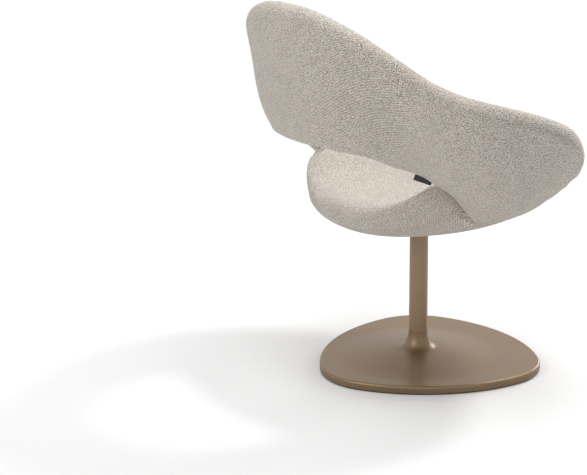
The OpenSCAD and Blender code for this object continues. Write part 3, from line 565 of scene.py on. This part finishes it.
# Each warp yarn passes over two weft yarns and under two, one further on than its neighbour.
shift = add(t, "ShaderNodeMath", {0: yarn_no[0], 1: yarn_no[1]}, operation="SUBTRACT")
in_repeat = add(t, "ShaderNodeMath", {0: shift, 1: 4.0}, operation="FLOORED_MODULO")
warp_up = add(t, "ShaderNodeMath", {0: in_repeat, 1: 1.5}, operation="LESS_THAN")
height = add(t, "ShaderNodeMix", {"Factor": warp_up, "A": bulge[1], "B": bulge[0]})
# The tone changes slowly along each yarn and differs from yarn to yarn, and single fibres vary it.
yarn_tone = []
for k, run in enumerate("YX"):
    slow = add(t, "ShaderNodeMath", {0: axes[run], 1: 0.5}, operation="MULTIPLY")
    yarn = add(t, "ShaderNodeCombineXYZ", {"X": yarn_no[k], "Y": slow, "Z": 7.3 * k})
    yarn_tone.append(add(t, "ShaderNodeTexNoise", {"Vector": yarn, "Scale": 1.7, "Detail": 1.0}))
on_top = add(t, "ShaderNodeMix", {"Factor": warp_up, "A": yarn_tone[1], "B": yarn_tone[0]})
fibres = add(t, "ShaderNodeTexNoise", {"Vector": cloth_map, "Scale": 520.0, "Detail": 1.0})
melange = add(t, "ShaderNodeMath", {0: on_top, 1: fibres}, operation="ADD")
wool_tone = add(t, "ShaderNodeValToRGB", {"Fac": melange})
for end, position, colour in zip(wool_tone.color_ramp.elements, (0.885, 1.0), ("#8a8073", "#e9e1d6")):
    end.position, end.color = position, paint(colour)
# Painted shade: the hollows between the yarns and the weft's side of the ribs are painted darker, as the
# weave's shading. Wide patches vary a little in tone.
painted_hollow_shade = add(t, "ShaderNodeMapRange", {"Value": height, "To Min": 0.5, "To Max": 1.1})
painted_rib_shade = add(t, "ShaderNodeMapRange", {"Value": warp_up, "To Min": 0.82, "To Max": 1.1})
wide = add(t, "ShaderNodeTexNoise", {"Vector": cloth_map, "Scale": 22.0, "Detail": 3.0})
patches = add(t, "ShaderNodeMapRange", {
    "Value": wide, "From Min": 0.3, "From Max": 0.7, "To Min": 0.96, "To Max": 1.03})
painted_weave_shade = add(t, "ShaderNodeMath", {0: painted_hollow_shade, 1: painted_rib_shade}, operation="MULTIPLY")
level = add(t, "ShaderNodeMath", {0: painted_weave_shade, 1: patches}, operation="MULTIPLY")
grey = add(t, "ShaderNodeCombineXYZ", {0: level, 1: level, 2: level})
# The wool's tone, times the painted shade of the weave and the patches.
shaded = add(t, "ShaderNodeMix", {"Factor": 1.0, "A": wool_tone, "B": grey},
             data_type="RGBA", blend_type="MULTIPLY")
fuzz = add(t, "ShaderNodeTexNoise", {"Vector": cloth_map, "Scale": 1500.0})
low_fuzz = add(t, "ShaderNodeMath", {0: fuzz, 1: 0.5}, operation="MULTIPLY")
raised = add(t, "ShaderNodeMath", {0: height, 1: low_fuzz}, operation="ADD")
relief = add(t, "ShaderNodeBump", {"Height": raised, "Strength": 0.45, "Distance": 0.0007})
close_finish(t, add(t, "ShaderNodeBsdfPrincipled", {
    "Base Color": shaded, "Roughness": 0.95, "Specular IOR Level": 0.25, "Sheen Weight": 0.35,
    "Sheen Roughness": 0.55, "Sheen Tint": paint("#f4efe8"), "Normal": relief}))
seat.data.materials.append(wool)
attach(seat, "seat")
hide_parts("seat_cover", "seat_foam")

# Back and arms. One padded ring over the moulded shell, in a single fitted cover of the same cloth.
# It is high and free of the seat at the rear and closes on the seat's sides, where a sewn groove runs.
half_w, rear_reach, chair_h, low_edge_h = 381, 317, 770, 521
rim_r, back_rim_r, low_edge_r = 23, 20.5, 20
# From the back's middle to the seat's rear corner: the top edge and the lower edge as shares of the
# sizes above (x, y, z), and the lower edge's radius as a share.
back_shares = [
    [[0, 1, 1], [0, 0.896, 1], 1],
    [[0.157, 0.987, 0.996], [0.136, 0.880, 1.000], 1],
    [[0.315, 0.945, 0.977], [0.273, 0.823, 0.994], 1],
    [[0.465, 0.866, 0.944], [0.383, 0.722, 0.975], 0.95],
    [[0.606, 0.751, 0.894], [0.454, 0.590, 0.935], 0.85],
    [[0.735, 0.634, 0.844], [0.497, 0.463, 0.896], 0.65],
]
# On from there to the arm's front: the top edge, the rim's radius as a share, and where the inner and
# the outer face meet the seat's side, counted in its five outline curves.
arm_shares = [
    [[0.835, 0.527, 0.813], 1, 4.98, 1.10],
    [[0.908, 0.401, 0.793], 1, 4.86, 1.30],
    [[0.961, 0.256, 0.776], 1, 4.72, 1.50],
    [[0.992, 0.101, 0.757], 1, 4.56, 1.72],
    [[1, -0.063, 0.732], 1, 4.42, 1.92],
    [[0.982, -0.224, 0.699], 1.09, 4.28, 2.15],
    [[0.917, -0.359, 0.657], 1.17, 4.14, 2.40],
    [[0.811, -0.470, 0.619], 1.26, 4.0, 2.62],
    [[0.696, -0.555, 0.579], 1.17, 3.7, 2.80],
    [[0.612, -0.631, 0.539], 0.52, 3.4, 2.98],
]
# Leans of the outer face at the rim and at the root, then of the inner face, in degrees.
leans = [
    [6, 15, 3, 3], [6, 15, 3, 3], [6, 15, 3, 3], [7, 14, 3, 3], [10, 11, 4, 4], [14, 14, 5, 5],
    [19, 27, 5, 6], [23, 31, 3, 8], [24, 31, 0, 10], [23, 25, -4, 12], [19, 18, -6, 12],
    [15, 15, -8, 12], [12, 11, -8, 10], [12, 9, -6, 8], [13, 10, -4, 6], [12, 11, 0, 4],
]


def unit(v):
    """The direction of v, with length 1."""
    return v / np.linalg.norm(v)


def side_point(q):
    """The point at place q of the five curves that run round the seat's side."""
    k = min(4, int(q))
    y, z = bezier(seat_curves(1)[k], q - k)[0]
    return np.array([seat_half_w(y), y, z])


# One row for each station: the top edge, then the outer and the inner point of the lower edge or root
# (x, y, z each), the radii of the rim and of the lower edge, and the four leans.
tops = [np.array(r[0]) * (half_w, rear_reach, chair_h) for r in back_shares + arm_shares]
stations = []
for k, (share, top) in enumerate(zip(back_shares + arm_shares, tops)):
    if k < len(back_shares):
        low = np.array(share[1]) * (half_w, rear_reach, low_edge_h)
        before = tops[k - 1] if k else tops[1] * (-1, 1, 1)
        out = unit(np.cross(unit(tops[k + 1] - before), unit(low - top))) * low_edge_r * share[2]
        edge, radii = [low + out, low - out], [back_rim_r, low_edge_r * share[2]]
    else:
        edge, radii = [side_point(share[3]), side_point(share[2])], [rim_r * share[1], 0]
    stations.append(np.concatenate([top, *edge, radii, leans[k]]))
stations = np.array(stations)
back_end = (len(back_shares) - 1) / (len(stations) - 1)
# The arm's outer edge starts this far off the seat's side at its rear corner, and closes on it
# forwards: stations, and distances at them.
flare_at, flare = [5.5, 6.1, 7, 8.5, 10], [0, 9, 8, 3, 0]
# The arms stay this far off the seat's sides; a tuck takes up this share of a face at most; and the
# handles of the faces' curves are this share of their height.
root_gap, most_cut, face_reach = 0.3, 0.3, 0.37
toe = math.atan(toe_share)
side_out = np.array([math.cos(toe), math.sin(toe), 0])


def station_at(u):
    """The row at share u of the way from the back's middle to the arm's front, with a smooth run
    through the stations."""
    n = len(stations) - 1
    s = min(max(u, 0) * n, n - 1e-6)
    k = int(s)
    x, b, c = s - k, stations[k], stations[k + 1]
    if k:
        a = stations[k - 1]
    else:
        a = stations[1].copy()
        a[[0, 3, 6]] *= -1  # x of its three points: the back's middle is a mirror line
    d = stations[k + 2] if k < n - 1 else 2 * c - b
    return 0.5 * (2 * b + (c - a) * x + (2 * a - 5 * b + 4 * c - d) * x * x
                  + (3 * b - a - 3 * c + d) * x**3)


def beside_seat(p, on_side):
    """A point moved out to the seat's side: onto it along the arm, and clear of it behind."""
    if on_side >= 1:
        return np.array([seat_half_w(p[1]), p[1], p[2]])
    return np.array([max(p[0], seat_half_w(p[1])) if p[1] < seat_rear_side else p[0], p[1], p[2]])


def clear_of_seat(loop):
    """A loop with its points kept off the seat's side."""
    loop[:, 0] = np.maximum(loop[:, 0], seat_half_w(loop[:, 1]) + root_gap)
    return loop


def ring_faces(centre, across, down, low_points, leans_here):
    """The outer and the inner face at one place of the ring: a cubic each, which starts at the rim and
    ends at the lower edge or root, and leans there by its own angles."""
    angle = np.radians(leans_here)
    faces = []
    for a, b, start, end in ((angle[0], angle[1], centre + across, low_points[0]),
                             (angle[2], angle[3], centre - across, low_points[1])):
        out, reach = unit(across), np.linalg.norm(end - start) * face_reach
        faces.append([start, start + (down * math.cos(a) + out * math.sin(a)) * reach,
                      end + (out * math.sin(b) - down * math.cos(b)) * reach, end])
    return faces


def ring_underside(faces, cut, on_side, low_r, down, steps):
    """The points between both faces. Under the back they are a half round. On an arm they are the
    root, flat on the seat's side, with its two edges tucked in."""
    low_out, low_in = faces[0][3], faces[1][3]
    turn = np.linspace(0, math.pi, steps + 1)[:, None]
    half_round = ((low_out + low_in) / 2 + (low_out - low_in) / 2 * np.cos(turn)
                  + down * low_r * np.sin(turn))
    width = np.linalg.norm(low_out - low_in)
    inward = min(most_cut, tuck_d * on_side / width) if width > 1 else 0
    third = steps // 3
    x = np.linspace(0, 1, third + 1)[:, None]
    edges = []
    for face, share, other in ((faces[0], cut[0], low_in), (faces[1], cut[1], low_out)):
        start, corner = bezier(face, 1 - share)[0], face[3]
        stop = mix(corner, other, inward)
        edges.append((1 - x) ** 2 * start + 2 * (1 - x) * x * corner + x * x * stop)
    flat = mix(edges[0][-1], edges[1][-1], np.linspace(0, 1, steps - 2 * third + 1)[1:-1, None])
    return mix(half_round, np.vstack([edges[0], flat, edges[1][::-1]]), on_side)


def ring_row(u, rim_steps=20, face_steps=38, low_steps=26):
    """One loop round the back or an arm, starting and ending in the middle of its lower edge or root,
    and the direction in which the ring runs there."""
    v, step = station_at(u), 0.01
    run = station_at(min(1, u + step)) - station_at(max(0, u - step))
    on_side = max(0, min(1, (u - back_end) * (len(stations) - 1)))
    root_out, root_in = beside_seat(v[3:6], on_side), beside_seat(v[6:9], on_side)
    top, low_mid = v[:3], (root_out + root_in) / 2
    along = unit(np.array([1.0, 0, 0]) if u < step else run[:3])
    fall = unit(low_mid - top)
    down = unit(fall - along * (fall @ along))
    out = unit(np.cross(along, down))
    r, low_r = v[9], max(0, v[10])
    centre = top + down * r
    turn = np.linspace(math.pi, 0, rim_steps + 1)[1:-1, None]
    rim_arc = centre + out * np.cos(turn) * r - down * np.sin(turn) * r
    place = low_mid + side_out * root_gap * on_side
    stand_off = side_out * np.interp(u * (len(stations) - 1), flare_at, flare)
    low_points = place + root_out - low_mid + stand_off, place + root_in - low_mid
    faces = ring_faces(centre, out * r, down, low_points, v[11:15])
    # A cut is the share of a face that its tuck takes up.
    cut = [min(most_cut, tuck_w * on_side / np.linalg.norm(f[3] - f[0])) for f in faces]
    under = ring_underside(faces, cut, on_side, low_r, down, low_steps)
    outer, inner = (bezier(face, np.linspace(0, 1 - share, face_steps + 1))[:-1]
                    for face, share in zip(faces, cut))
    loop = np.vstack([rim_arc, outer, under, inner[::-1]])
    if on_side >= 1:
        clear_of_seat(loop)
    return np.roll(loop, -(len(rim_arc) + len(outer) + len(under) // 2), axis=0), along


half_loops, outer_middle, end_r = 216, 90, 9.0
half_ring = []
for u in np.linspace(0, 1, half_loops):
    loop, along = ring_row(u)
    half_ring.append(loop)
# The arm's front closes with a small round end.
last = half_ring[-1]
middle = last.mean(0)
for a in np.radians([15, 30, 45, 60, 72, 82, 88]):
    half_ring.append(clear_of_seat(middle + (last - middle) * math.cos(a) + along * end_r * math.sin(a)))
ring_rows = [loop * (-1, 1, 1) for loop in half_ring[:0:-1]] + half_ring
# The weave runs straight along the middle of the outer face, point outer_middle of each loop.
ring = skin("back_and_arms", ring_rows, lengths=run_lengths(ring_rows, outer_middle))
rows, root_top = np.array(ring_rows), seat_corner_top + 8
rooted = np.abs(rows[..., 0]) < seat_half_w(rows[..., 1]) + tuck_w
rooted &= (rows[..., 1] < seat_rear_side) & (rows[..., 2] < root_top)
settle(ring, rooted.ravel(), most_mm=2.5)
ring.data.materials.append(wool)
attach(ring, "seat")
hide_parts("back_arm_cover", "back_arm_foam")

# Tab. A short piece of satin-woven ribbon, folded once and caught in the seam under the back. It is
# charcoal and left blank, and its cut ends are stitched.
tab_l, tab_h, tab_t = 38.5, 11.0, 1.1


def low_line(u, step=0.01, depth_share=0.866):
    """The line under the back where the tab comes out, just above the lowest one."""
    v = station_at(u)
    mid = (v[3:6] + v[6:9]) / 2
    run = station_at(u + step)[:3] - station_at(u - step)[:3]
    along, fall = unit(run), unit(mid - v[:3])
    return mid + unit(fall - along * (fall @ along)) * v[10] * depth_share


# Its ends along the ring, and where they lie from that line, give the tab's own frame: x along it, y
# out of its face and z up. It leans by 3 degrees and is mirrored to the sitter's right.
tab_from, tab_to, tab_lean = 0.373, 0.323, math.radians(-3)
tab_p, tab_q = low_line(tab_from) + (2, 2, 3.5), low_line(tab_to) + (2, 2, -5)
tab_turn = math.atan2(tab_q[1] - tab_p[1], tab_q[0] - tab_p[0])
tab_rise = math.asin((tab_q[2] - tab_p[2]) / np.linalg.norm(tab_q - tab_p))
to_chair = (Matrix.Scale(-1, 4, (1, 0, 0)) @ Matrix.Translation(tab_p / 1000)
            @ Euler((0, -tab_rise, tab_turn)).to_matrix().to_4x4() @ Matrix.Rotation(tab_lean, 4, "X"))
# Section in y and z: down the rear leaf, round the fold, and up the front leaf, which bulges a little.
fold = [(-math.cos(a) * tab_t / 2, -tab_h - math.sin(a) * tab_t / 2) for a in np.linspace(0, math.pi, 13)]
front = [(tab_t / 2 + 0.25 * math.sin(math.pi * q), -tab_h * (1 - q)) for q in np.linspace(0, 1, 13)[1:]]
rear = [(-tab_t / 2 - 0.1 * math.sin(math.pi * q), -tab_h * q) for q in np.linspace(0, 1, 13)[:-1]]
section = np.array(rear + fold + front)
tab_rows = []
# Towards its two cut ends the ribbon is pinched thinner, and between them it bows out a little.
end_w, most_bow = 0.6, 0.25
near_end = np.array([0, 0.15, end_w])
for x in np.concatenate([near_end, np.linspace(1.5, tab_l - 1.5, 36), tab_l - near_end[::-1]]):
    pinch = 0.82 + 0.18 * min(1, min(x, tab_l - x) / end_w)
    bow = most_bow * math.sin(math.pi * x / tab_l)
    tab_rows.append([(x, y * pinch + bow * (z / tab_h) ** 2, z) for y, z in section])
tab = skin("tab_ribbon", tab_rows)
tab.data.transform(to_chair)
tab.data.flip_normals()
ribbon, t = new_finish("satin_woven_ribbon")
place = add(t, "ShaderNodeTexCoord").outputs["Object"]
on_tab = add(t, "ShaderNodeMapping", {
    "Vector": place, "Location": tuple(to_chair.inverted().translation),
    "Rotation": tuple(to_chair.inverted().to_euler())}).outputs[0]
# Ribbon yarns are 0.15 mm apart; they are drawn 1 mm apart.
yarns = add(t, "ShaderNodeTexWave", {"Vector": on_tab, "Scale": 350.0, "Distortion": 0.6, "Detail": 1.0},
            bands_direction="DIAGONAL").outputs["Fac"]
woven = add(t, "ShaderNodeMix", {"Factor": yarns, "A": paint("#1d1c20"), "B": paint("#35333a")},
            data_type="RGBA")
cloudy = add(t, "ShaderNodeTexNoise", {"Vector": on_tab, "Scale": 300.0})
tone = add(t, "ShaderNodeMix", {"Factor": 0.35, "A": woven, "B": cloudy.outputs["Color"]},
           data_type="RGBA", blend_type="SOFT_LIGHT")
relief = add(t, "ShaderNodeBump", {"Height": yarns, "Strength": 0.4, "Distance": 0.0002})
close_finish(t, add(t, "ShaderNodeBsdfPrincipled", {
    "Base Color": tone, "Roughness": 0.5, "Sheen Weight": 0.15, "Sheen Roughness": 0.4,
    "Normal": relief}))
tab.data.materials.append(ribbon)
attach(tab, "seat")
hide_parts("label_tab")

# Tab stitches. Polyester thread, about five to the centimetre, in one row near the seam: the tree lays
# one short thread at each point of a line.
thread, t = new_finish("polyester_thread")
place = add(t, "ShaderNodeTexCoord").outputs["Object"]
twist = add(t, "ShaderNodeTexWave", {"Vector": place, "Scale": 900.0}, bands_direction="DIAGONAL")
tone = add(t, "ShaderNodeMix", {
    "Factor": twist.outputs["Fac"], "A": paint("#2a292d"), "B": paint("#4a484e")}, data_type="RGBA")
close_finish(t, add(t, "ShaderNodeBsdfPrincipled", {"Base Color": tone, "Roughness": 0.55}))
tree, given = new_tree("stitch_row", [
    ("Stitches", "Int"), ("Start", "Vector"), ("End", "Vector"), ("Length", "Float"),
    ("Thread radius", "Float"), ("Finish", "Material")])
line = add(tree, "GeometryNodeCurvePrimitiveLine", {"Start": given["Start"], "End": given["End"]})
points = add(tree, "GeometryNodeCurveToPoints", {"Curve": line.outputs[0], "Count": given["Stitches"]})
half = add(tree, "ShaderNodeMath", {0: given["Length"], 1: 0.5}, operation="MULTIPLY")
back = add(tree, "ShaderNodeMath", {0: half, 1: -1.0}, operation="MULTIPLY")
on_arc = [add(tree, "ShaderNodeCombineXYZ", at) for at in (
    {"Z": back}, {"Y": given["Thread radius"]}, {"Z": half})]
arc = add(tree, "GeometryNodeCurveArc", {
    "Resolution": 7, "Start": on_arc[0], "Middle": on_arc[1], "End": on_arc[2]}, mode="POINTS")
thread_round = add(tree, "GeometryNodeCurvePrimitiveCircle", {
    "Resolution": 6, "Radius": given["Thread radius"]})
stitch = add(tree, "GeometryNodeCurveToMesh", {
    "Curve": arc.outputs[0], "Profile Curve": thread_round.outputs[0], "Fill Caps": True})
close_tree(tree, add(tree, "GeometryNodeInstanceOnPoints", {
    "Points": points.outputs["Points"], "Instance": stitch.outputs[0],
    "Rotation": points.outputs["Rotation"]}), given["Finish"])
# In metres and in the tab's own frame: on its front leaf, 2.2 mm under the seam.
stitch_x, stitch_y, stitch_z = 0.0015, (tab_t / 2 + 0.12) / 1000, -0.0022
stitches = grown("tab_stitches", tree, {
    "Stitches": 18, "Start": (stitch_x, stitch_y, stitch_z),
    "End": (tab_l / 1000 - stitch_x, stitch_y, stitch_z),
    "Length": 0.0016, "Thread radius": 0.00022, "Finish": thread})
stitches.data.transform(to_chair)
stitches.data.flip_normals()
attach(stitches, "seat")

# Underside cover. A black polypropylene dish over the mounting plate, held by three black screws.
# Its face has the fine spark-eroded texture of the mould.
polypropylene, t = new_finish("moulded_polypropylene")
place = add(t, "ShaderNodeTexCoord").outputs["Object"]
# Mould texture is 0.2 mm; it is drawn at 0.8 mm.
spark = add(t, "ShaderNodeTexNoise", {"Vector": place, "Scale": 1250.0})
tone = add(t, "ShaderNodeMix", {"Factor": spark, "A": paint("#161617"), "B": paint("#242426")},
           data_type="RGBA")
relief = add(t, "ShaderNodeBump", {"Height": spark, "Strength": 0.35, "Distance": 0.0001})
close_finish(t, add(t, "ShaderNodeBsdfPrincipled", {
    "Base Color": tone, "Roughness": 0.55, "Normal": relief}))
finish_node("underside_cover", polypropylene)
finish_node("underside_screws", black_steel)

# Studio. A white sweep of paper as the floor, which keeps the chair's soft shadow and is lifted a
# little where the camera sees it, until it fades into the white all round. A small soft box high in
# front casts the long shadow, with the light patch that falls through the gap under the back.
floor_half, camera_lift, fade_from, fade_to = 9, 0.14, 0.9, 1.6
floor_mesh = bpy.data.meshes.new("studio_floor")
corners = [(x * floor_half, y * floor_half, 0) for x, y in ((-1, -1), (1, -1), (1, 1), (-1, 1))]
floor_mesh.from_pydata(corners, [], [(0, 1, 2, 3)])
floor = bpy.data.objects.new("studio_floor", floor_mesh)
scene.collection.objects.link(floor)
paper, t = new_finish("white_studio_paper")
seen = add(t, "ShaderNodeLightPath").outputs["Is Camera Ray"]
lift = add(t, "ShaderNodeMath", {0: seen, 1: camera_lift}, operation="MULTIPLY")
plain = add(t, "ShaderNodeBsdfPrincipled", {
    "Base Color": paint("#eaeaea"), "Roughness": 0.9, "Specular IOR Level": 0.1,
    "Emission Color": (1, 1, 1, 1), "Emission Strength": lift})
place = add(t, "ShaderNodeTexCoord").outputs["Object"]
away = add(t, "ShaderNodeVectorMath", {0: place}, operation="LENGTH")
fade = add(t, "ShaderNodeMapRange", {"Value": away, "From Min": fade_from, "From Max": fade_to},
           interpolation_type="SMOOTHSTEP")
faded = add(t, "ShaderNodeMath", {0: fade, 1: seen}, operation="MULTIPLY")
far_white = add(t, "ShaderNodeEmission", {"Color": (1, 1, 1, 1), "Strength": 1.02})
close_finish(t, add(t, "ShaderNodeMixShader", {0: faded, 1: plain, 2: far_white}))
floor_mesh.materials.append(paper)
floor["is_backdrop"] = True

# The room is white to the camera and in reflections, and dimmer as light.
ambient = 0.365
world = bpy.data.worlds.new("studio")
scene.world = world
world.use_nodes = True
world.node_tree.nodes.clear()
t = world.node_tree
rays = add(t, "ShaderNodeLightPath").outputs
glow, white = (add(t, "ShaderNodeBackground", {"Color": (1, 1, 1, 1), "Strength": level})
               for level in (ambient, 1.0))
direct = add(t, "ShaderNodeMath", {0: rays["Is Camera Ray"], 1: rays["Is Glossy Ray"]},
             operation="MAXIMUM")
both = add(t, "ShaderNodeMixShader", {0: direct, 1: glow, 2: white})
add(t, "ShaderNodeOutputWorld", {"Surface": both})


def lamp(name, place, aim, size, power):
    """A square soft box at a place, facing an aim; metres and watts."""
    light = bpy.data.lights.new(name, "AREA")
    light.size, light.energy = size, power
    box = bpy.data.objects.new(name, light)
    box.location = place
    box.rotation_mode = "QUATERNION"
    box.rotation_quaternion = (Vector(aim) - Vector(place)).to_track_quat("-Z", "Y")
    scene.collection.objects.link(box)


lamp("overhead_box", place=(0.1, 0.2, 3.2), aim=(0, 0, 0.3), size=2.2, power=49)
lamp("key_box", place=(-0.17, -2.4, 3.84), aim=(0, 0, 0.4), size=0.7, power=72)
lamp("side_box", place=(0.8, -2.9, 1.1), aim=(0, 0, 0.1), size=1.2, power=31)
lamp("rear_box", place=(-0.5, 3.1, 1.9), aim=(0, 0, 0.5), size=1.6, power=29)

low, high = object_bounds()
